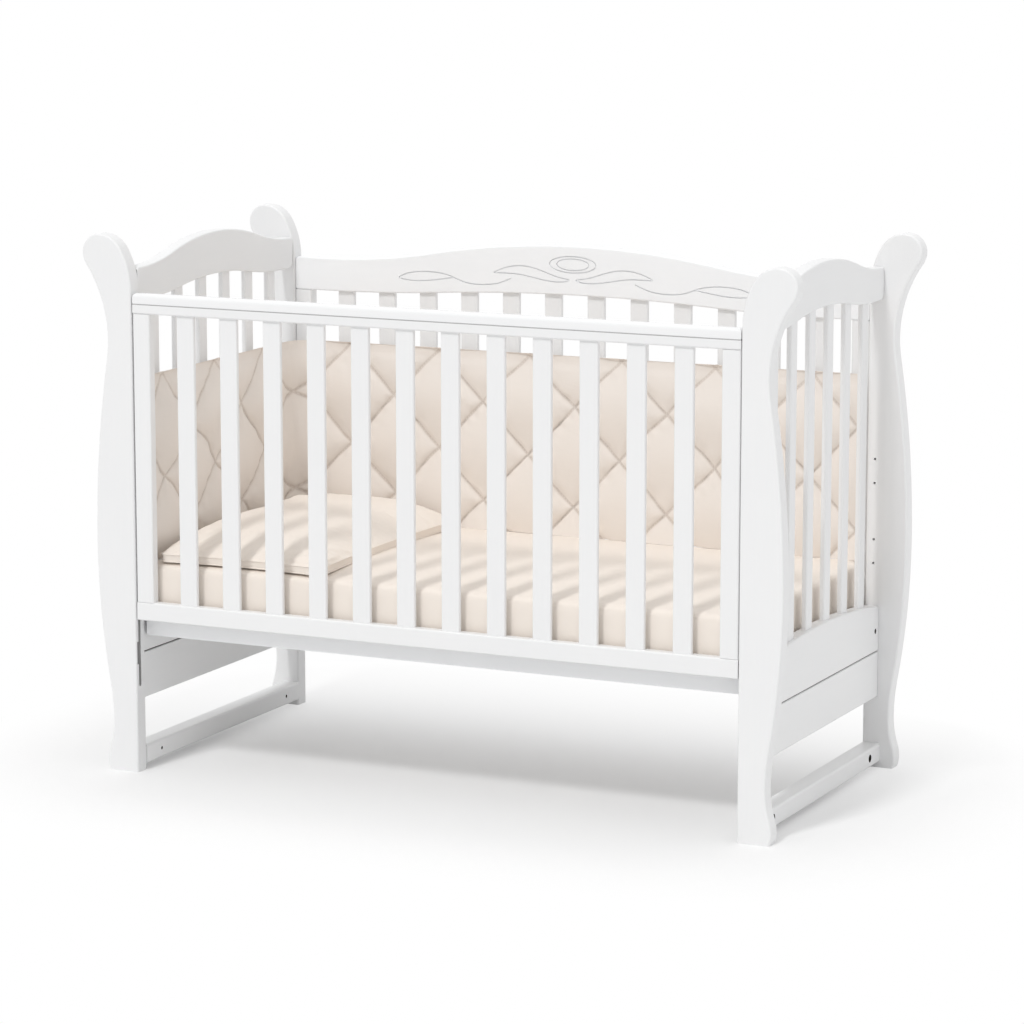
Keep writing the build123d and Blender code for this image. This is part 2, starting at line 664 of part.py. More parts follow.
def back_panel():
    """All pieces of the fixed back panel, by name, and the dowels of its stiles."""
    y = SIDE_MID_Y
    pockets = side_mortises(y, side_slat_top_back)
    joint_holes = back_joint_holes()
    stile_x = back_stile_x()
    holes = []
    dowels = []
    for x in (-stile_x, stile_x):
        holes += stile_dowels(x, y, CREST_LOW_END, DOWEL_FIT)
        dowels += stile_dowels(x, y, CREST_LOW_END, 0)
    corners = (CREST_LOW_CORNER, CREST_TOP_CORNER)
    face = arched_face(INNER_X, CREST_LOW, CREST_TOP, CREST_TURN, *corners)
    crest = extrude(Plane.XZ.offset(-SIDE_OUT_Y) * face, SIDE_THICKNESS)
    crest = rounded_faces(crest, Axis.Y, RAIL_ROUND)
    parts = {
        "back_crest_rail": crest - pockets - holes - joint_holes,
        "back_bottom_rail": side_bottom_rail(INNER_X, y, SIDE_THICKNESS) - pockets - holes - joint_holes,
    }
    for side, x in (("left", -stile_x), ("right", stile_x)):
        parts["back_stile_" + side] = stile(x, y, SIDE_THICKNESS, CREST_LOW_END, holes)
    for i, piece in enumerate(side_slats(y, side_slat_top_back)):
        parts[f"back_slat_{i + 1:02d}"] = piece
    return parts, dowels


# Hidden joinery of the frame
def frame_dowels():
    """Dowels between the rails of the ends and of the back and the posts."""
    dowels = []
    for z in end_dowel_heights():
        dowel = rod(END_MID_X, POST_IN_Y - DOWEL_DEPTH, z, "y", 2 * DOWEL_DEPTH, DOWEL_DIAMETER)
        for end in left_and_right(dowel):
            dowels += front_and_back(end)
    start_x = INNER_X - DOWEL_DEPTH
    dowel = rod(start_x, SIDE_MID_Y, back_dowel_height(), "x", 2 * DOWEL_DEPTH, DOWEL_DIAMETER)
    return dowels + [*left_and_right(dowel)]


def connecting_studs():
    reach = NUT_FROM_END + NUT_DIAMETER / 2 + STUD_PAST_NUT
    length = reach + STUD_IN_POST
    studs = []
    apron = rod(END_MID_X, POST_IN_Y - reach, APRON_STUD_Z, "y", length, STUD_DIAMETER)
    for end in left_and_right(apron):
        studs += front_and_back(end)
    for z in back_stud_heights():
        studs += left_and_right(rod(INNER_X - reach, SIDE_MID_Y, z, "x", length, STUD_DIAMETER))
    return studs


def barrel_nuts():
    """Cross barrels that hold the studs, set into the faces of the rails."""
    bore = STUD_DIAMETER + 2 * FIT_GAP
    nuts = []
    nut_y = POST_IN_Y - NUT_FROM_END
    nut = rod(END_OUT_X - NUT_SINK - NUT_LENGTH, nut_y, APRON_STUD_Z, "x", NUT_LENGTH, NUT_DIAMETER)
    nut = nut - rod(END_MID_X, nut_y - NUT_DIAMETER, APRON_STUD_Z, "y", 2 * NUT_DIAMETER, bore)
    for end in left_and_right(nut):
        nuts += front_and_back(end)
    nut_x = INNER_X - NUT_FROM_END
    for z in back_stud_heights():
        nut = rod(nut_x, SIDE_OUT_Y - NUT_SINK - NUT_LENGTH, z, "y", NUT_LENGTH, NUT_DIAMETER)
        nut = nut - rod(nut_x - NUT_DIAMETER, SIDE_MID_Y, z, "x", 2 * NUT_DIAMETER, bore)
        nuts += left_and_right(nut)
    return nuts


# Mattress base
def base_parts():
    half_y = MATTRESS_WIDTH / 2 - BASE_INSET
    rail_in_y = half_y - BASE_RAIL_THICKNESS
    end_in_x = END_IN_X - BASE_RAIL_THICKNESS
    bolt_z = BASE_LOW + BASE_RAIL_HEIGHT / 2
    rail_x = END_IN_X - BASE_END_GAP
    long_rail = block(-rail_x, rail_x, rail_in_y, half_y, BASE_LOW, BASE_TOP)
    front, back = front_and_back(fillet(long_rail.edges().filter_by(Axis.X), RAIL_ROUND))
    end_rail = block(end_in_x, END_IN_X, -rail_in_y, rail_in_y, BASE_LOW, BASE_TOP)
    end_rail = fillet(end_rail.edges().filter_by(Axis.Y), RAIL_ROUND)
    bolts = []
    holes = []
    for y in (-BASE_BOLT_PITCH / 2, BASE_BOLT_PITCH / 2):
        head = rod(end_in_x - BASE_BOLT_HEAD_HEIGHT, y, bolt_z, "x", BASE_BOLT_HEAD_HEIGHT, BASE_BOLT_HEAD)
        length = BASE_RAIL_THICKNESS + BASE_BOLT_IN_APRON
        bolts += left_and_right(head + rod(end_in_x, y, bolt_z, "x", length, BASE_BOLT_DIAMETER))
        bolt_diameter = BASE_BOLT_DIAMETER + 2 * FIT_GAP
        holes.append(rod(end_in_x, y, bolt_z, "x", BASE_RAIL_THICKNESS, bolt_diameter))
    left, right = left_and_right(end_rail - holes)
    pitch = (2 * END_IN_X - BASE_SLAT_WIDTH) / (BASE_SLATS - 1)
    slats = []
    for x in centred(BASE_SLATS, pitch):
        half = BASE_SLAT_WIDTH / 2
        slats.append(block(x - half, x + half, -half_y, half_y, BASE_TOP, DECK_TOP))
    return {
        "base_long_rail_front": front,
        "base_long_rail_back": back,
        "base_end_rail_left": left,
        "base_end_rail_right": right,
        "base_slats": group(slats),
        "base_bolts": group(bolts),
    }


# Bedding
def mattress():
    """A block with rounded edges and a low crown that starts inside the bumper."""
    flat = MATTRESS_THICKNESS - MATTRESS_CROWN
    plan = RectangleRounded(MATTRESS_LENGTH, MATTRESS_WIDTH, MATTRESS_CORNER)
    body = Pos(0, 0, MATTRESS_LOW) * extrude(plan, flat)
    body = fillet(body.faces().filter_by(Axis.Z).edges(), MATTRESS_ROUND)
    layers = []
    for inset, z in ((BUMPER_THICKNESS, MATTRESS_TOP - MATTRESS_CROWN), (CROWN_RUN, MATTRESS_TOP)):
        size = (MATTRESS_LENGTH - 2 * inset, MATTRESS_WIDTH - 2 * inset)
        layers.append(Pos(0, 0, z) * RectangleRounded(*size, MATTRESS_CORNER))
    return body + loft(layers)


def bumper_low():
    """Underside of the bumper, just above the rim of the mattress."""
    return MATTRESS_TOP - MATTRESS_CROWN + SOFT_GAP


def bumper():
    """An L of quilted padding along the left end and the back."""
    right = INNER_X - BUMPER_END_GAP
    front = -MATTRESS_WIDTH / 2 + BUMPER_END_GAP
    outer = BUMPER_CORNER + BUMPER_THICKNESS
    path = Polyline(
        (-BUMPER_OUT_X, front),
        (-BUMPER_OUT_X, BUMPER_OUT_Y),
        (right, BUMPER_OUT_Y),
        (right, BUMPER_IN_Y),
        (-BUMPER_IN_X, BUMPER_IN_Y),
        (-BUMPER_IN_X, front),
        close=True,
    )
    plan = make_face(path)
    far = [v for v in plan.vertices() if v.X < -BUMPER_OUT_X + 0.001 and v.Y > BUMPER_IN_Y]
    plan = fillet(far, outer)
    near = [v for v in plan.vertices() if abs(v.X + BUMPER_IN_X) < 0.001 and v.Y > 0]
    plan = fillet(near, BUMPER_CORNER)
    low = bumper_low()
    body = Pos(0, 0, low) * extrude(plan, BUMPER_HEIGHT)
    body = fillet(body.faces().sort_by(Axis.Z)[-1].edges(), BUMPER_ROUND)
    body = fillet(body.faces().sort_by(Axis.Z)[0].edges(), BUMPER_LOW_ROUND)
    back_span = (-BUMPER_IN_X + BUMPER_CORNER, right)
    left_span = (front, BUMPER_IN_Y - BUMPER_CORNER)
    lines = []
    for start, end in quilt_lines(QUILT_BACK_START, *back_span, low):
        ends = [(at, BUMPER_IN_Y, z) for at, z in (start, end)]
        lines.append(quilt_cutter(*ends, (0, 1, 0)))
    for start, end in quilt_lines(QUILT_LEFT_START, *left_span, low):
        ends = [(-BUMPER_IN_X, at, z) for at, z in (start, end)]
        lines.append(quilt_cutter(*ends, (1, 0, 0)))
    return body - lines


def quilt_lines(first, low_end, high_end, low):
    """Ends of the slanting seams of a panel, as places along it and heights."""
    top = low + BUMPER_HEIGHT - QUILT_TOP
    reach = BUMPER_HEIGHT - 2 * QUILT_TOP
    count = int((high_end - low_end + reach) / QUILT_PITCH) + 2
    lines = []
    for k in range(-count, count + 1):
        for lean in (-1, 1):
            near = first + k * QUILT_PITCH
            far = near + lean * reach
            inside = [min(max(at, low_end), high_end) for at in (near, far)]
            if abs(inside[1] - inside[0]) < QUILT_WIDTH:
                continue
            heights = [top - abs(at - near) for at in inside]
            lines.append(((inside[0], heights[0]), (inside[1], heights[1])))
    return lines


def quilt_cutter(start, end, normal):
    """A flat wedge along a seam that presses a channel into a panel's face."""
    run = Line(start, end)
    across = Plane(origin=start, x_dir=normal, z_dir=run % 0)
    half = QUILT_WIDTH / 2
    wedge = Polygon((QUILT_DEPTH, 0), (0, half), (-QUILT_DEPTH, 0), (0, -half), align=None)
    return extrude(across * wedge, run.length)


def pillow_section(z, crown, tuck):
    """Outline of the pillow at a height, a share of the way from its seam in to its crown."""
    left = -BUMPER_IN_X + PILLOW_SIDE_GAP
    x0 = left + tuck + crown * PILLOW_CROWN_LEFT
    x1 = left + PILLOW_WIDTH - tuck - crown * PILLOW_CROWN_RIGHT
    y0 = -MATTRESS_WIDTH / 2 + PILLOW_FRONT_GAP + tuck + crown * PILLOW_CROWN_FRONT
    y1 = BUMPER_IN_Y - PILLOW_SIDE_GAP - tuck - crown * PILLOW_CROWN_BACK
    xm = (x0 + x1) / 2
    ym = (y0 + y1) / 2
    drawn_in = PILLOW_DRAWN_IN * (1 - crown / 2)
    edges = [
        ThreePointArc((x0, y0), (xm, y0 + drawn_in), (x1, y0)),
        ThreePointArc((x1, y0), (x1 - drawn_in, ym), (x1, y1)),
        ThreePointArc((x1, y1), (xm, y1 - drawn_in), (x0, y1)),
        ThreePointArc((x0, y1), (x0 + drawn_in, ym), (x0, y0)),
    ]
    rounding = crown * PILLOW_CROWN_TURN * min(x1 - x0, y1 - y0)
    face = make_face(edges)
    face = fillet(face.vertices().sort_by(Axis.Y)[2:], (1 - crown) * PILLOW_BACK_CORNER + rounding)
    face = fillet(face.vertices().sort_by(Axis.Y)[:2], (1 - crown) * PILLOW_FRONT_CORNER + rounding)
    return Pos(0, 0, z) * face


def pillow():
    """A cushion slumped into the corner: flat below, widest at its seam, fullest at the back left."""
    low = MATTRESS_TOP + SOFT_GAP
    seam = low + PILLOW_SEAM
    swell = PILLOW_HEIGHT - PILLOW_SEAM
    sections = [pillow_section(low, 0, PILLOW_TUCK)]
    for step in range(PILLOW_STEPS + 1):
        angle = radians(90 * step / PILLOW_STEPS)
        sections.append(pillow_section(seam + swell * sin(angle), 1 - cos(angle), 0))
    return loft(sections, ruled=True)


def all_parts():
    """Every node of the crib, by name."""
    blank = post_blank()
    parts = {}
    for name, post in (("front", front_post(blank)), ("back", back_post(blank))):
        parts[f"post_{name}_left"], parts[f"post_{name}_right"] = left_and_right(post)
    rails = {"end_top_rail": end_top_rail(), "end_apron": end_apron(), "end_stretcher": end_stretcher()}
    for name, rail in rails.items():
        parts[name + "_left"], parts[name + "_right"] = left_and_right(rail)
    slats = [left_and_right(piece) for piece in end_slats()]
    parts["end_slats_left"] = group(pair[0] for pair in slats)
    parts["end_slats_right"] = group(pair[1] for pair in slats)
    parts.update(drop_side())
    back, stile_pegs = back_panel()
    parts.update(back)
    parts["frame_dowels"] = group(frame_dowels() + stile_pegs)
    parts["connecting_studs"] = group(connecting_studs())
    parts["barrel_nuts"] = group(barrel_nuts())
    parts.update(base_parts())
    parts["mattress"] = mattress()
    parts["bumper"] = bumper()
    parts["pillow"] = pillow()
    return parts


os.makedirs("parts", exist_ok=True)
for node, shape in all_parts().items():
    export_step(shape, f"parts/{node}.step")
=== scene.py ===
import json
from functools import cached_property
from math import pi, radians
import bpy
import numpy as np
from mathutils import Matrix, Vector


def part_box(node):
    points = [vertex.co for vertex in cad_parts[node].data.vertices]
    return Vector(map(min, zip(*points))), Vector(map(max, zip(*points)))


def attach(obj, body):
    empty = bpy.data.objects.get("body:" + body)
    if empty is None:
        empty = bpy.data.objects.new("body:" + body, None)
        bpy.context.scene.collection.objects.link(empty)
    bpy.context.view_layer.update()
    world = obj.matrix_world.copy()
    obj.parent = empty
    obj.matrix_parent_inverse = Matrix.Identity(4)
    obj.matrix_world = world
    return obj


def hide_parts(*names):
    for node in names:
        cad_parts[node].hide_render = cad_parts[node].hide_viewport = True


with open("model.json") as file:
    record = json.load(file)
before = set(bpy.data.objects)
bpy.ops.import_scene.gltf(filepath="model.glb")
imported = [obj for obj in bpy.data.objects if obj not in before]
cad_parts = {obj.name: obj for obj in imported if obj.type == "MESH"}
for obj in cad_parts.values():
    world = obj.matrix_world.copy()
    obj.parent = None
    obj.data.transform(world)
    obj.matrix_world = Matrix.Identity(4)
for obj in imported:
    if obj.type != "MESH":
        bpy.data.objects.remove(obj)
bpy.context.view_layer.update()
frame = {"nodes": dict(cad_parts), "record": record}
nodes = frame["nodes"]


# Shading: sockets that can be added, multiplied and stepped

class Shade:
    """A socket of a finish; an expression on it adds Math nodes."""

    def __init__(self, finish, socket):
        self.finish = finish
        self.socket = socket

    def math(self, operation, *values):
        return self.finish.node("ShaderNodeMath", {"operation": operation}, dict(enumerate(values)))

    def __add__(self, other):
        return self.math("ADD", self, other)

    def __sub__(self, other):
        return self.math("SUBTRACT", self, other)

    def __rsub__(self, other):
        return self.math("SUBTRACT", other, self)

    def __mul__(self, other):
        return self.math("MULTIPLY", self, other)

    def __pow__(self, other):
        return self.math("POWER", self, other)

    def __abs__(self):
        return self.math("ABSOLUTE", self)

    __radd__ = __add__
    __rmul__ = __mul__

    def sine(self):
        return self.math("SINE", self)

    def least(self, other):
        return self.math("MINIMUM", self, other)

    def most(self, other):
        return self.math("MAXIMUM", self, other)

    def from_line(self, pitch):
        """Distance to the nearest of evenly spaced lines."""
        return self.math("PINGPONG", self, pitch / 2)

    def step(self, low, high):
        """A soft step from 0 at low to 1 at high."""
        settings = {"interpolation_type": "SMOOTHSTEP"}
        values = {"Value": self, "From Min": low, "From Max": high}
        return self.finish.node("ShaderNodeMapRange", settings, values)


class Finish:
    """A material, or the world, whose nodes are written as expressions."""

    def __init__(self, owner):
        self.owner = owner
        self.owner.use_nodes = True
        self.tree = owner.node_tree

    @cached_property
    def place(self):
        return self.node("ShaderNodeTexCoord", output="Object")

    @cached_property
    def shader(self):
        return self.tree.nodes["Principled BSDF"]

    def node(self, kind, settings=None, values=None, output=0):
        made = self.tree.nodes.new(kind)
        for key, value in (settings or {}).items():
            setattr(made, key, value)
        for key, value in (values or {}).items():
            self.put(value, made.inputs[key])
        return Shade(self, made.outputs[output])

    def put(self, value, socket):
        if isinstance(value, Shade):
            self.tree.links.new(value.socket, socket)
        else:
            socket.default_value = value

    def axes(self):
        """The X, Y and Z of a point on the piece, in metres."""
        split = self.node("ShaderNodeSeparateXYZ", values={0: self.place})
        return [Shade(self, output) for output in split.socket.node.outputs]

    def attribute(self, name):
        return self.node("ShaderNodeAttribute", {"attribute_name": name}, output="Fac")

    def noise(self, scale, detail, stretch=(1, 1, 1)):
        """Noise from 0 to 1; stretch multiplies the place along each axis."""
        place = self.node("ShaderNodeMapping", values={"Vector": self.place, "Scale": stretch})
        return self.node("ShaderNodeTexNoise", values={"Vector": place, "Scale": scale, "Detail": detail})

    def blend(self, mask, first, second):
        """A colour that goes from the first to the second as the mask rises."""
        settings = {"data_type": "RGBA"}
        return self.node("ShaderNodeMix", settings, {0: mask, 6: first, 7: second}, output=2)

    def surface(self, color, roughness, height, depth, **constants):
        """Join the colour, the roughness and a relief of a depth in metres to the shader."""
        self.put(color, self.shader.inputs["Base Color"])
        self.put(roughness, self.shader.inputs["Roughness"])
        bump = self.node("ShaderNodeBump", values={"Height": height, "Distance": depth, "Strength": 1.0})
        self.put(bump, self.shader.inputs["Normal"])
        for name, value in constants.items():
            self.put(value, self.shader.inputs[name.replace("_", " ").title()])
        return self.owner


def new_finish(name):
    return Finish(bpy.data.materials.new(name))


WHITES = ((0.825, 0.828, 0.835, 1), (0.872, 0.872, 0.870, 1))
# Painted light: a lighter copy of the white paint for the carved crest rail and the base's long rails,
# which sit in shade
PAINTED_LIGHT_WHITES = ((0.905, 0.915, 0.930, 1), (0.945, 0.950, 0.955, 1))
# Painted shade: the near-black put into bores, grooves and joints, where shade falls
PAINTED_SHADE = (0.035, 0.028, 0.022, 1)
GRAIN_ALONG = 14.0
GRAIN_ACROSS = 220.0
PAINT_RELIEF = 0.00009


def painted_wood(along, shade_mask=None, whites=WHITES):
    """Satin white paint over beech whose grain runs along an axis, with painted shade where a mask marks
    bores, grooves and joints.
    """
    paint = new_finish("white_paint_along_" + along)
    stretch = [GRAIN_ALONG if axis == along else GRAIN_ACROSS for axis in "xyz"]
    grain = paint.noise(1.0, 4.0, stretch)
    peel = paint.noise(650.0, 2.0)
    cloud = paint.noise(5.0, 2.0)
    tone = cloud * 0.6 + grain * 0.4
    color = paint.blend(tone, *whites)
    # Blend painted shade in where the mask marks a bore, groove or joint
    if shade_mask:
        color = paint.blend(shade_mask(*paint.axes()), color, PAINTED_SHADE)
    roughness = 0.30 + peel * 0.10 + cloud * 0.08
    return paint.surface(color, roughness, grain * 0.7 + peel * 0.3, PAINT_RELIEF, coat_weight=0.08)


# Where the painted shade of the bores, grooves and joints lies, in metres, and how dark it is

EDGE_BLUR = 0.0003
SCREW_MIDDLE = (0.245, 0.029)
SCREW_SINK = (0.0076, 0.0079)
STRETCHER_X = (0.6008, 0.6373)
NUT_MIDDLE = (0.281, 0.264)
NUT_HOLE = (0.0052, 0.0055)
NUT_X = (0.6200, 0.6305)
APRON_X = (0.6055, 0.6305)
APRON_GROOVE_Z = (0.2227, 0.2253)
APRON_GROOVE_BLUR = 0.0008
APRON_GROOVE_SHADE = 0.85
GUIDE_X = (0.6028, 0.6120)
GUIDE_Y = (-0.3262, -0.3125)
GUIDE_Z = (0.150, 0.840)
GUIDE_SHADE = 0.5
POST_JOINT_Y = (0.2970, 0.2982)
CAP_JOINT_Z = (0.8788, 0.8800)
JOINT_SHADE = 0.6


def between(place, low, high, blur=EDGE_BLUR):
    """1 between two places on an axis and 0 outside them."""
    return place.step(low, low + blur) * (1 - place.step(high - blur, high))


def round_hole(y, z, middle, edge):
    """1 in a round hole along X at each end of a board, falling to 0 across its edge."""
    off_axis = ((abs(y) - middle[0]) ** 2 + (z - middle[1]) ** 2) ** 0.5
    return 1 - off_axis.step(*edge)


def stretcher_hole_shade(x, y, z):
    """Painted shade in the screw holes through a stretcher and their wide outer ends."""
    return between(abs(x), *STRETCHER_X) * round_hole(y, z, SCREW_MIDDLE, SCREW_SINK)


def apron_painted_shade(x, y, z):
    """Painted shade in the groove across an apron's faces, in the holes for its barrel nuts and in its
    joints with the posts.
    """
    groove = between(z, *APRON_GROOVE_Z, APRON_GROOVE_BLUR) * between(abs(x), *APRON_X)
    joint = abs(y).step(*POST_JOINT_Y)
    nut = between(abs(x), *NUT_X) * round_hole(y, z, NUT_MIDDLE, NUT_HOLE)
    return (groove * APRON_GROOVE_SHADE).most(joint * JOINT_SHADE).most(nut)


def guide_groove_shade(x, y, z):
    """Painted shade in the guide groove and the notch in a front post's inner edge."""
    inside = between(abs(x), *GUIDE_X) * between(y, *GUIDE_Y)
    return inside * between(z, *GUIDE_Z) * GUIDE_SHADE


def end_rail_joint_shade(x, y, z):
    """Painted shade in the fine joint between an end's top rail and the posts."""
    return abs(y).step(*POST_JOINT_Y) * JOINT_SHADE


def cap_joint_shade(x, y, z):
    """Painted shade in the fine joint between the front's top rail and its cap."""
    return z.step(*CAP_JOINT_Z) * JOINT_SHADE


# Other finishes

def moulded_plastic():
    """White plastic with the faint flow of a long moulding."""
    plastic = new_finish("white_plastic")
    flow = plastic.noise(3.0, 2.0, (2, 30, 30))
    speck = plastic.noise(900.0, 2.0)
    color = plastic.blend(flow, (0.86, 0.865, 0.875, 1), (0.895, 0.895, 0.895, 1))
    return plastic.surface(color, 0.22 + speck * 0.08, speck, 0.00003, coat_weight=0.15)


def zinc_steel():
    """Zinc plate with a dull crystal bloom."""
    steel = new_finish("zinc_steel")
    bloom = steel.noise(260.0, 4.0)
    color = steel.blend(bloom, (0.50, 0.51, 0.53, 1), (0.72, 0.72, 0.71, 1))
    return steel.surface(color, 0.28 + bloom * 0.25, bloom, 0.00005, metallic=1.0)


def bare_beech():
    """Unpainted beech with short dark flecks."""
    wood = new_finish("bare_beech")
    fleck = wood.noise(420.0, 3.0, (1, 1, 0.3))
    color = wood.blend(fleck, (0.50, 0.33, 0.19, 1), (0.70, 0.52, 0.34, 1))
    return wood.surface(color, 0.55 + fleck * 0.2, fleck, 0.00012)


LEVEL_FACE = (0.45, 0.8)
COTTON_RELIEF = 0.0006


def woven(cloth, thread):
    """Relief of a plain weave, from 0 to 1, on level and on upright faces."""
    x, y, z = cloth.axes()
    normal = cloth.node("ShaderNodeNewGeometry", output="Normal")
    level = abs(cloth.node("ShaderNodeSeparateXYZ", values={0: normal}, output=2)).step(*LEVEL_FACE)
    turn = pi / thread
    warp = (x * turn).sine() * (y * turn).sine()
    side = ((x + y) * turn).sine() * (z * turn).sine()
    return 0.5 + 0.5 * (warp * level + side * (1 - level))


CREAM_SHADE = (0.875, 0.800, 0.725, 1)
CREAM_LIGHT = (0.925, 0.852, 0.780, 1)
# Painted shade: the quilt is the bedding's cream cotton, made about six percent darker for the bumper
QUILT_SHADE = (0.815, 0.755, 0.700, 1)
QUILT_LIGHT = (0.865, 0.805, 0.750, 1)
# Painted shade for the sewn channels of the quilt
SEAM_PAINTED_SHADE = (0.52, 0.43, 0.36, 1)
COTTON_THREAD = 0.0011
QUILT_THREAD = 0.0012


def bedding_cotton(name):
    """Soft cream cotton with a fine weave, slubs and a slow change of tone."""
    cloth = new_finish(name)
    weave = woven(cloth, COTTON_THREAD)
    slub = cloth.noise(70.0, 4.0, (1, 4, 1))
    cloud = cloth.noise(4.0, 2.0)
    tone = cloud * 0.55 + slub * 0.30 + weave * 0.15
    color = cloth.blend(tone, CREAM_SHADE, CREAM_LIGHT)
    crease = cloth.noise(28.0, 3.0)
    relief = weave * 0.2 + slub * 0.3 + crease * 0.5
    return cloth.surface(color, 0.80 + slub * 0.12, relief, COTTON_RELIEF, sheen_weight=0.12)


QUILT_PITCH = 0.193
QUILT_TOP = 0.741
QUILT_OFFSET = QUILT_PITCH * 40
STITCH = 0.0045
STITCH_EDGE = (0.0006, 0.0014)
SEAM_WIDTH = 0.007


def quilted_cotton():
    """Cream cotton with a line of stitches and a band of painted shade in each sewn channel."""
    cloth = new_finish("quilted_cotton")
    run = cloth.attribute("quilt_run")
    drop = cloth.attribute("quilt_drop")
    weave = woven(cloth, QUILT_THREAD)
    slub = cloth.noise(60.0, 4.0, (1, 1, 4))
    cloud = cloth.noise(5.0, 2.0)
    rising = (run + drop + QUILT_OFFSET).from_line(QUILT_PITCH)
    falling = (run - drop + QUILT_OFFSET).from_line(QUILT_PITCH)
    seam = rising.least(falling)
    thread = 1 - seam.step(*STITCH_EDGE)
    dash = ((run + drop * 0.02) * (2 * pi / STITCH)).sine().step(-0.35, 0.1)
    stitch = thread * dash
    tone = cloud * 0.5 + slub * 0.35 + weave * 0.15
    color = cloth.blend(tone, QUILT_SHADE, QUILT_LIGHT)
    # Painted shade darkens a narrow band along each seam
    color = cloth.blend((1 - seam.step(0.0, SEAM_WIDTH)) * 0.45, color, SEAM_PAINTED_SHADE)
    color = cloth.blend(stitch * 0.6, color, QUILT_LIGHT)
    relief = weave * 0.2 + slub * 0.3 + cloth.noise(30.0, 3.0) * 0.4 + stitch * 0.6
    return cloth.surface(color, 0.78 + slub * 0.14, relief, COTTON_RELIEF, sheen_weight=0.12)


# Modelling helpers

SAME_POINT = 0.00001
SWELL_FRAMES = 20


def only(piece):
    """Select one piece alone and make it the active one."""
    bpy.ops.object.select_all(action="DESELECT")
    piece.select_set(True)
    bpy.context.view_layer.objects.active = piece


def merged_copy(node, name):
    """A closed copy of a CAD node, to be worked on."""
    piece = bpy.data.objects.new(name, nodes[node].data.copy())
    piece.data.materials.clear()
    bpy.context.collection.objects.link(piece)
    only(piece)
    bpy.ops.mesh.customdata_custom_splitnormals_clear()
    bpy.ops.object.mode_set(mode="EDIT")
    bpy.ops.mesh.select_all(action="SELECT")
    bpy.ops.mesh.remove_doubles(threshold=SAME_POINT)
    bpy.ops.object.mode_set(mode="OBJECT")
    return piece


def soft_copy(node, name, voxel):
    """An evenly meshed copy of a CAD cushion."""
    piece = merged_copy(node, name)
    piece.data.remesh_voxel_size = voxel
    bpy.ops.object.voxel_remesh()
    bpy.ops.object.shade_smooth()
    return piece


def points(piece, field="co"):
    """The places or the normals of a mesh's points."""
    flat = np.empty(len(piece.data.vertices) * 3, np.float32)
    piece.data.vertices.foreach_get(field, flat)
    return flat.reshape(-1, 3).astype(float)


def set_points(piece, places):
    piece.data.vertices.foreach_set("co", places.astype(np.float32).ravel())
    piece.data.update()


def attribute(piece, name, values):
    """Store a value for each point, for the finish to read."""
    layer = piece.data.attributes.new(name, "FLOAT", "POINT")
    layer.data.foreach_set("value", values.astype(np.float32))


def apply_modifier(piece, modifier):
    """Make a modifier's result the piece's own mesh."""
    only(piece)
    bpy.ops.object.modifier_apply(modifier=modifier.name)


def subdivide(piece):
    """Divide each face once and round the surface."""
    smooth = piece.modifiers.new("smooth", "SUBSURF")
    smooth.levels = smooth.render_levels = 1
    apply_modifier(piece, smooth)


def swell(jobs):
    """Blow up soft pieces by cloth simulation, holding the sewn points and capping the rest."""
    for job in jobs:
        piece = job["piece"]
        sewn = piece.vertex_groups.new(name="sewn")
        for weight in (1.0, 0.5):
            held = np.flatnonzero(job["sewn"] == weight)
            sewn.add([int(i) for i in held], weight, "REPLACE")
        cloth = piece.modifiers.new("swell", "CLOTH")
        cloth.settings.quality = 4
        cloth.settings.mass = 0.2
        cloth.settings.tension_stiffness = 12
        cloth.settings.compression_stiffness = 8
        cloth.settings.shear_stiffness = 4
        cloth.settings.bending_stiffness = 0.15
        cloth.settings.use_pressure = True
        cloth.settings.uniform_pressure_force = job["pressure"]
        cloth.settings.shrink_min = -job["slack"]
        cloth.settings.effector_weights.gravity = 0
        cloth.settings.vertex_group_mass = "sewn"
        cloth.collision_settings.use_collision = False
        cloth.point_cache.frame_start = 1
        cloth.point_cache.frame_end = SWELL_FRAMES
    scene = bpy.context.scene
    for moment in range(1, SWELL_FRAMES + 1):
        scene.frame_set(moment)
    graph = bpy.context.evaluated_depsgraph_get()
    for job in jobs:
        piece = job["piece"]
        start = points(piece)
        blown = points(piece.evaluated_get(graph))
        move = blown - start
        length = np.linalg.norm(move, axis=1, keepdims=True)
        move *= np.minimum(1, job["cap"] / np.maximum(length, 1e-9))
        piece.modifiers.clear()
        piece.vertex_groups.clear()
        set_points(piece, start + move)
    scene.frame_set(1)


def tube(name, line, radius, closed, roundness, fineness):
    """A round tube along a smooth line, open with caps or closed, as a mesh."""
    curve = bpy.data.curves.new(name, "CURVE")
    curve.dimensions = "3D"
    curve.bevel_depth = radius
    curve.bevel_resolution = roundness
    curve.use_fill_caps = not closed
    path = curve.splines.new("NURBS")
    path.points.add(len(line) - 1)
    for point, place in zip(path.points, line):
        point.co = (*place, 1)
    path.order_u = 3
    path.use_endpoint_u = not closed
    path.use_cyclic_u = closed
    path.resolution_u = fineness
    piece = bpy.data.objects.new(name, curve)
    bpy.context.collection.objects.link(piece)
    only(piece)
    bpy.ops.object.convert(target="MESH")
    return bpy.context.object


def ripple(places, size, height, seed):
    """A slow uneven wave over a surface, from a few slanting sine waves."""
    wave = np.zeros(len(places))
    for k in range(6):
        heading = np.array([np.cos(seed + 1.9 * k), np.sin(seed + 2.3 * k), np.cos(2.1 * seed + k)])
        wave += np.sin(places @ heading * (2 * pi / size) * (0.7 + 0.17 * k) + seed * (k + 1))
    return wave * height / 6


# Bumper: an L of quilted padding along the left end and the back

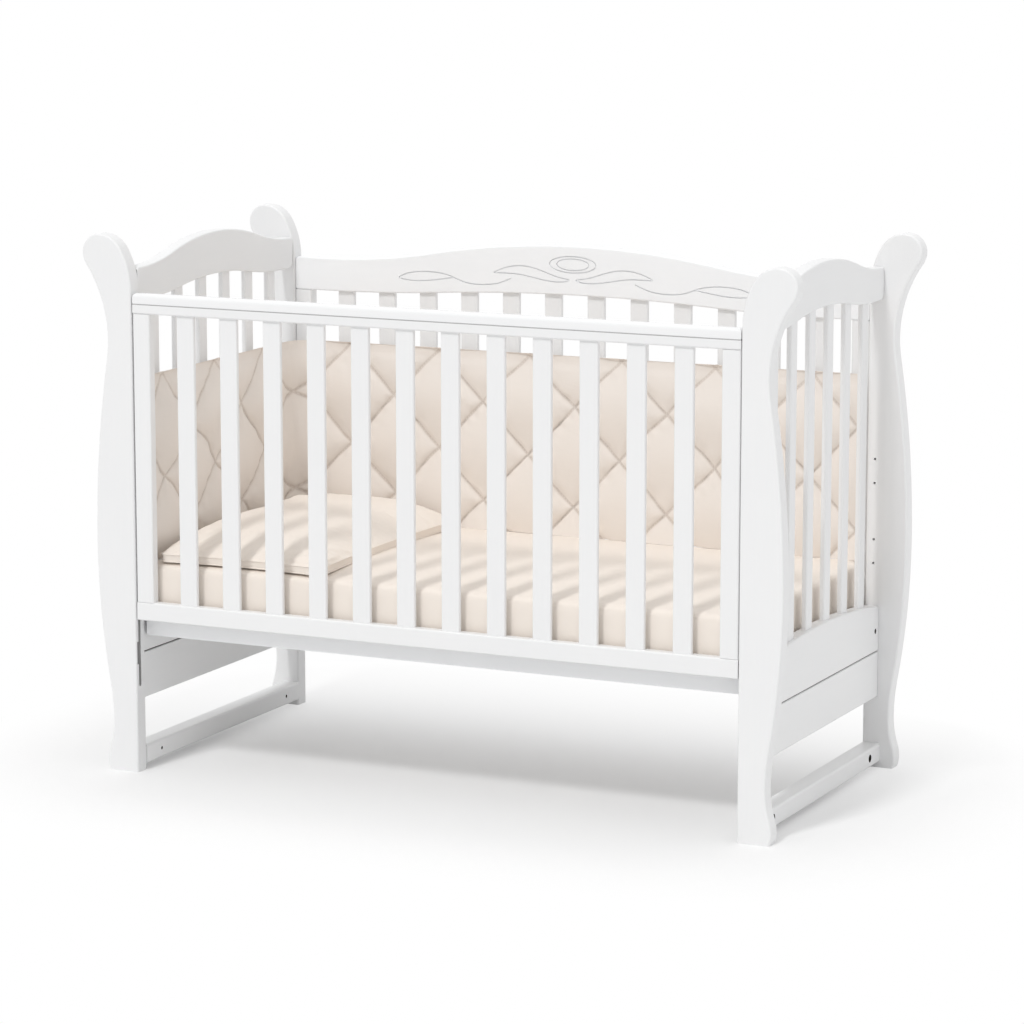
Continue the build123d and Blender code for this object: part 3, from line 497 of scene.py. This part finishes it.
BUMPER_CORNER = (-0.5445, 0.241)
BUMPER_RADIUS = 0.030
BUMPER_THICKNESS = 0.030
CORNER_RUN = 0.0377
QUILT_START = 0.1092
BUMPER_MIDDLE = BUMPER_THICKNESS / 2
BUMPER_VOXEL = 0.0055
CHANNEL_DEPTH = 0.022
BACK_CHANNELS = 0.25
PUFF_ROUNDNESS = 0.62
TOP_SLACK = 0.7
TOP_SLACK_REACH = 0.045
WANDER_SIZE = 0.17
SEAM_WANDER = 0.005
LOOSE_END_WANDER = 0.012
LOOSE_END_REACH = 0.1
SEWN_REACH = 0.005
SEAM_REACH = 0.012
PUCKER_REACH = 0.022
TOP_EDGE = 0.016
TOP_EDGE_BLEND = 0.012
LEAST_HOLD = 0.8
DENT_MARGIN = 0.012
PRESS_MARGIN = 0.010
DRESS_MARGIN = 0.014
PLUMP_CHANGE = 0.05
BOTTOM_LAYER = 0.004
SKIN = 0.002

# Size, height and seed of the waves on each soft piece

BUMPER_WAVES = (0.13, 0.0006, 1.3)
PUCKERS = (0.035, 0.0016, 2.9)
MATTRESS_WAVES = (0.34, 0.0010, 0.4)
PILLOW_WAVES = (0.19, 0.0012, 2.2)


def along_bumper(places):
    """Place along the bumper's run, depth behind its inner face, and the inner face's normal."""
    x = places[:, 0] - BUMPER_CORNER[0]
    y = places[:, 1] - BUMPER_CORNER[1]
    angle = np.arctan2(np.maximum(y, 0), np.maximum(-x, 0))
    back = x >= 0
    left = (y <= 0) & ~back
    run = np.where(back, CORNER_RUN + x, np.where(left, y, CORNER_RUN * angle / (pi / 2)))
    depth = np.where(back, y, np.where(left, -x, np.hypot(x, y))) - BUMPER_RADIUS
    inward = np.zeros_like(places)
    inward[:, 0] = np.where(back, 0, np.where(left, 1, np.cos(angle)))
    inward[:, 1] = np.where(back, -1, np.where(left, 0, -np.sin(angle)))
    return run, depth, inward


def quilt_place(places):
    """Place along and down the quilting, whose seams wander, most on the left end."""
    run = along_bumper(places)[0]
    drop = QUILT_TOP - places[:, 2]
    flat = np.stack([run, np.zeros_like(run), drop], axis=1)
    loose = np.clip(-run / LOOSE_END_REACH, 0, 1)
    wander = SEAM_WANDER + (LOOSE_END_WANDER - SEAM_WANDER) * loose
    run = run - QUILT_START + ripple(flat, WANDER_SIZE, 1.0, 3.1) * wander
    return run, drop + ripple(flat, WANDER_SIZE, 1.0, 5.2) * wander


def quilting(places):
    """Fullness, from 0 on a seam to 1 in the middle of a puff, and distance to the nearest seam."""
    run, drop = quilt_place(places)
    away = []
    for place in (run + drop, run - drop):
        away.append(np.abs(place - np.round(place / QUILT_PITCH) * QUILT_PITCH))
    shares = [gap * 2 / QUILT_PITCH for gap in away]
    rising, falling = [(1 - (1 - share) ** 2) ** PUFF_ROUNDNESS + 1e-4 for share in shares]
    puff = [np.floor(place / QUILT_PITCH) for place in (run + drop, run - drop)]
    plump = 1 - PLUMP_CHANGE + PLUMP_CHANGE * np.sin(2.3 * puff[0] + 4.1 * puff[1])
    plump *= 1 - TOP_SLACK * np.exp(-((drop / TOP_SLACK_REACH) ** 2))
    full = plump * (rising ** -2 + falling ** -2 - 1) ** -0.5
    return full, np.minimum(*away) / np.sqrt(2)


def inside_face(places, margin):
    """1 on the broad faces of the bumper, falling to 0 at its two ends."""
    run = along_bumper(places)[0]
    return np.clip(np.minimum(run - run.min(), run.max() - run) / margin, 0, 1)


def make_bumper():
    """The bumper with its channels drawn in and its puffs not yet blown up."""
    piece = soft_copy("bumper", "quilted_bumper", BUMPER_VOXEL)
    places = points(piece)
    depth, inward = along_bumper(places)[1:]
    dented = (depth > 0) & (depth < BUMPER_MIDDLE) & (inside_face(places, DENT_MARGIN) >= 1)
    places[dented] += inward[dented] * depth[dented][:, None]
    depth = along_bumper(places)[1]
    full, away = quilting(places)
    side = np.clip((BUMPER_MIDDLE - depth) / BUMPER_MIDDLE, -1, 1)
    press = (CHANNEL_DEPTH * (1 - full) + SKIN) * inside_face(places, PRESS_MARGIN)
    press *= np.where(side > 0, 1.0, BACK_CHANNELS) * np.sign(side) * np.abs(side) ** 0.5
    set_points(piece, places - inward * press[:, None])
    foot = places[:, 2] < places[:, 2].min() + BOTTOM_LAYER
    sewn = np.where((away < SEWN_REACH) | (inside_face(places, PRESS_MARGIN) < 0.6) | foot, 1.0, 0.0)
    return {"piece": piece, "sewn": sewn, "pressure": 4.0, "slack": 0.0, "cap": 0.005}


def dress_bumper(piece):
    """Sharpen the channels after the simulation, pucker the seams and mark the stitch lines."""
    subdivide(piece)
    places = points(piece)
    depth, inward = along_bumper(places)[1:]
    run, drop = quilt_place(places)
    full, away = quilting(places)
    front = (points(piece, "normal") * inward).sum(axis=1) > 0
    level = np.clip((places[:, 2].max() - TOP_EDGE - places[:, 2]) / TOP_EDGE_BLEND, 0, 1)
    hold = np.maximum(LEAST_HOLD, np.exp(-((away / SEAM_REACH) ** 2)))
    hold *= inside_face(places, DRESS_MARGIN) * level
    wanted = CHANNEL_DEPTH * (1 - full)
    places -= inward * (np.where(front, wanted - depth, 0) * hold)[:, None]
    pucker = ripple(places, *PUCKERS) * np.exp(-((away / PUCKER_REACH) ** 2))
    places += points(piece, "normal") * (ripple(places, *BUMPER_WAVES) + pucker)[:, None]
    set_points(piece, places)
    attribute(piece, "quilt_run", run)
    attribute(piece, "quilt_drop", drop)
    piece.data.materials.append(quilted_cotton())
    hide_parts("bumper")
    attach(piece, "bumper")


# Mattress and pillow

MATTRESS_VOXEL = 0.010
MATTRESS_EDGE = 0.0025


def make_mattress():
    """The mattress before it is blown up, held where it rests and half held round its sides."""
    piece = soft_copy("mattress", "mattress_cover", MATTRESS_VOXEL)
    places = points(piece)
    normals = points(piece, "normal")
    low = places[:, 2].min()
    top = places[:, 2].max()
    resting = places[:, 2] < low + BOTTOM_LAYER
    sides = (places[:, 2] < top - MATTRESS_EDGE) & ~resting
    places -= normals * np.where(resting | sides, 0.0, SKIN)[:, None]
    set_points(piece, places)
    sewn = np.where(resting, 1.0, np.where(sides, 0.5, 0.0))
    return {"piece": piece, "sewn": sewn, "pressure": 2.0, "slack": 0.0, "cap": 0.003}


def dress_mattress(piece):
    """Give the mattress its slow waves, kept above its underside, and its cotton."""
    low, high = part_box("mattress")
    places = points(piece)
    upper = np.clip((places[:, 2] - low.z) / (high.z - low.z), 0, 1)
    places += points(piece, "normal") * (ripple(places, *MATTRESS_WAVES) * upper)[:, None]
    places[:, 2] = np.maximum(places[:, 2], low.z)
    set_points(piece, places)
    subdivide(piece)
    piece.data.materials.append(bedding_cotton("mattress_cotton"))
    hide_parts("mattress")
    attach(piece, "mattress")


PILLOW_VOXEL = 0.005
PILLOW_BORDER = 0.0150
BORDER_EDGE = 0.003
LOOSE_FROM_BORDER = 0.02
PIPING_RADIUS = 0.0016
PIPING_LIFT = 0.0015


def make_pillow():
    """The pillow before it is blown up, held from its border down."""
    piece = soft_copy("pillow", "pillow_case", PILLOW_VOXEL)
    places = points(piece)
    low = places[:, 2].min()
    crown = places[:, 2] > low + PILLOW_BORDER + BORDER_EDGE
    sewn = np.where(crown, 0.0, 1.0)
    places -= points(piece, "normal") * np.where(crown, SKIN, 0.0)[:, None]
    set_points(piece, places)
    return {"piece": piece, "sewn": sewn, "pressure": 4.0, "slack": 0.01, "cap": 0.007}


def seam_ring(node, height):
    """The outline of a CAD node's seam at a height, in order round it."""
    places = points(nodes[node])
    ring = np.unique(np.round(places[np.abs(places[:, 2] - height) < 0.0002], 5), axis=0)
    away = (ring - ring.mean(axis=0)) / (ring.max(axis=0) - ring.min(axis=0) + 1e-9)
    return ring[np.argsort(np.arctan2(away[:, 1], away[:, 0]))]


def dress_pillow(piece):
    """Give the pillow its waves, its cotton and the piping along its two seams."""
    places = points(piece)
    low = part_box("pillow")[0].z
    loose = np.clip((places[:, 2] - low - PILLOW_BORDER) / LOOSE_FROM_BORDER, 0, 1)
    places += points(piece, "normal") * (ripple(places, *PILLOW_WAVES) * loose)[:, None]
    places[:, 2] = np.maximum(places[:, 2], low)
    set_points(piece, places)
    subdivide(piece)
    cotton = bedding_cotton("pillow_cotton")
    piece.data.materials.append(cotton)
    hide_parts("pillow")
    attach(piece, "pillow")
    for name, height, lift in (("upper", PILLOW_BORDER, 0.0), ("lower", 0.0, PIPING_LIFT)):
        ring = seam_ring("pillow", low + height) + (0, 0, lift)
        cord = tube(f"pillow_piping_{name}", ring, PIPING_RADIUS, closed=True, roundness=2, fineness=2)
        cord.data.materials.append(cotton)
        bpy.ops.object.shade_smooth()
        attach(cord, "pillow")


# Crest rail: lines cut into its inner face

CREST_FACE_Y = 0.3015
GROOVE = 0.0017
GROOVE_SUNK = 0.0013
LEAF_TOP = [(6.5, 889.2), (30, 892), (57, 901), (84, 909.5), (109, 912.2), (134, 909), (154, 902.5),
            (167, 896)]
LEAF_LOW = [(167, 895.6), (144, 895.8), (117, 895.6), (90, 891.4), (63, 886), (37, 883.2), (15, 884.4),
            (6.5, 888.6)]
TENDRIL = [(253, 881.8), (242, 877.2), (222, 871.8), (195, 870.4), (167, 873), (147, 878.4), (130, 886)]
LENS_TOP = [(372, 877.5), (357, 885), (332, 889.8), (305, 891.2), (277, 888.8), (256, 883.6), (253, 881.8)]
LENS_LOW = [(372, 876.5), (366, 873.6), (339, 871.4), (312, 872.8), (284, 876.6), (253, 881.8)]
OVAL_MIDDLE = (0.0, 918.2)
OVALS = [(48.8, 15.8), (33.6, 11.2)]
OVAL_POINTS = 24
SHARP_EDGE = 35


def groove_tool(name, line, closed=False):
    """A round cutter along a line drawn on the crest rail's face, in millimetres."""
    places = [(x / 1000, CREST_FACE_Y + GROOVE_SUNK, z / 1000) for x, z in line]
    return tube(name, places, GROOVE, closed, roundness=3, fineness=4)


def carve_crest():
    """The crest rail with its ovals, leaves and tendrils cut in."""
    rail = merged_copy("back_crest_rail", "carved_crest_rail")
    tools = []
    for k, (wide, high) in enumerate(OVALS):
        turns = [2 * pi * i / OVAL_POINTS for i in range(OVAL_POINTS)]
        line = [(OVAL_MIDDLE[0] + wide * np.cos(t), OVAL_MIDDLE[1] + high * np.sin(t)) for t in turns]
        tools.append(groove_tool(f"oval_{k}", line, closed=True))
    for name, line in (("leaf_top", LEAF_TOP), ("leaf_low", LEAF_LOW), ("tendril", TENDRIL),
                       ("lens_top", LENS_TOP), ("lens_low", LENS_LOW)):
        for side in (-1, 1):
            tools.append(groove_tool(f"{name}_{side}", [(side * x, z) for x, z in line]))
    for tool in tools:
        cut = rail.modifiers.new("cut", "BOOLEAN")
        cut.operation = "DIFFERENCE"
        cut.solver = "EXACT"
        cut.object = tool
        apply_modifier(rail, cut)
        bpy.data.objects.remove(tool)
    only(rail)
    bpy.ops.object.shade_smooth_by_angle(angle=radians(SHARP_EDGE))
    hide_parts("back_crest_rail")
    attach(rail, "frame")
    return rail


# Finishes of the wooden and metal pieces

def grain_axis(node):
    """The axis that a board's grain runs along."""
    if node.startswith(("end_slats", "post", "drop_slat", "back_slat", "drop_stile", "back_stile")):
        return "z"
    if node == "base_slats":
        return "y"
    low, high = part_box(node)
    size = high - low
    return "xyz"[max(range(3), key=lambda i: size[i])]


def paint_frame(carved):
    """Give each CAD node its finish, and the carved rail the lighter white that stands in for light."""
    boards = {axis: painted_wood(axis) for axis in "xyz"}
    by_slot = {"zinc_steel": zinc_steel(), "bare_beech": bare_beech(), "white_plastic": moulded_plastic()}
    # Painted light: the same white paint made lighter for pieces that sit in shade
    painted_light_white = painted_wood("x", whites=PAINTED_LIGHT_WHITES)
    own = {"end_stretcher": painted_wood("y", stretcher_hole_shade), "end_apron": painted_wood("y", apron_painted_shade),
           "post_front": painted_wood("z", guide_groove_shade), "base_long_rail": painted_light_white,
           "end_top_rail": painted_wood("y", end_rail_joint_shade), "drop_top": painted_wood("x", cap_joint_shade)}
    slots = {part["node"]: part["material_slot"] for part in frame["record"]["subparts"]}
    for node, piece in nodes.items():
        material = by_slot.get(slots[node]) or own.get(node.rpartition("_")[0]) or boards[grain_axis(node)]
        piece.data.materials.clear()
        piece.data.materials.append(material)
    carved.data.materials.append(painted_light_white)


# Stage, light and camera

AMBIENT = 0.54
OVERHEAD = 0.75
KEY = 1.05
SIDE = 0.2
FLOOR_SIZE = 160
SHADOW_HALF_X = 0.45
SHADOW_HALF_Y = 0.15
FADE_AROUND = (0.28, 0.62)
FADE_BEHIND = (-0.15, 0.85)
LEAST_WHITE = 0.15
CAMERA_PLACE = (3.0335, -6.3847, 1.7264)
CAMERA_DIP = 9.945
CAMERA_TURN = 25.308
CAMERA_SENSOR = 36.0
CAMERA_LENS = 135.77
CAMERA_REACH = 300


def stage_floor():
    """A pale floor that runs out to white and keeps the crib's shadow."""
    bpy.ops.object.select_all(action="DESELECT")
    bpy.ops.mesh.primitive_plane_add(size=FLOOR_SIZE)
    floor = bpy.context.object
    floor.name = "floor"
    pale = new_finish("pale_floor")
    pale.put((0.90, 0.90, 0.90, 1), pale.shader.inputs["Base Color"])
    pale.put(0.9, pale.shader.inputs["Roughness"])
    pale.put(0.0, pale.shader.inputs["Specular IOR Level"])
    white = pale.node("ShaderNodeEmission", values={"Color": (1, 1, 1, 1), "Strength": 1.0})
    x, y = pale.axes()[:2]
    beside = (abs(x) - SHADOW_HALF_X).most(0.0)
    before = (abs(y) - SHADOW_HALF_Y).most(0.0)
    away = (beside ** 2 + before ** 2) ** 0.5
    seen = pale.node("ShaderNodeLightPath", output="Is Camera Ray")
    fade = away.step(*FADE_AROUND).most(y.step(*FADE_BEHIND))
    share = seen * (LEAST_WHITE + (1 - LEAST_WHITE) * fade)
    matt = Shade(pale, pale.shader.outputs[0])
    shown = pale.node("ShaderNodeMixShader", values={0: share, 1: matt, 2: white})
    pale.put(shown, pale.tree.nodes["Material Output"].inputs["Surface"])
    floor.data.materials.append(pale.owner)


def light_studio():
    """Even light from all round, more from above and one side, and one soft key from the front."""
    world = bpy.data.worlds.new("studio")
    bpy.context.scene.world = world
    studio = Finish(world)
    kinds = ("Camera", "Glossy", "Transmission")
    seen = [studio.node("ShaderNodeLightPath", output=f"Is {kind} Ray") for kind in kinds]
    backdrop = studio.node("ShaderNodeBackground", values={"Color": (1, 1, 1, 1), "Strength": 1.0})
    ambient = studio.node("ShaderNodeBackground", values={"Color": (1, 1, 1, 1), "Strength": AMBIENT})
    shown = seen[0].most(seen[1]).most(seen[2])
    mix = studio.node("ShaderNodeMixShader", values={0: shown, 1: ambient, 2: backdrop})
    studio.put(mix, studio.tree.nodes["World Output"].inputs["Surface"])
    lamps = [("overhead", OVERHEAD, 120, (0, 0, 0)), ("key", KEY, 8, (40, 0, -7.4)),
             ("side", SIDE, 60, (0, 75, 0))]
    for name, energy, spread, turn in lamps:
        bpy.ops.object.light_add(type="SUN", location=(0, -2, 4))
        lamp = bpy.context.object
        lamp.name = name
        lamp.data.energy = energy
        lamp.data.angle = radians(spread)
        lamp.rotation_euler = [radians(angle) for angle in turn]


def place_camera():
    """A long lens from the front right, a little above the crib."""
    bpy.ops.object.camera_add(location=CAMERA_PLACE)
    camera = bpy.context.object
    camera.rotation_euler = (radians(90 - CAMERA_DIP), 0, radians(CAMERA_TURN))
    camera.data.sensor_width = CAMERA_SENSOR
    camera.data.lens = CAMERA_LENS
    camera.data.clip_end = CAMERA_REACH
    bpy.context.scene.camera = camera


place_camera()
carved = carve_crest()
paint_frame(carved)
soft = [make_bumper(), make_mattress(), make_pillow()]
swell(soft)
dress_bumper(soft[0]["piece"])
dress_mattress(soft[1]["piece"])
dress_pillow(soft[2]["piece"])
stage_floor()
light_studio()
bpy.context.scene.view_settings.view_transform = "Standard"
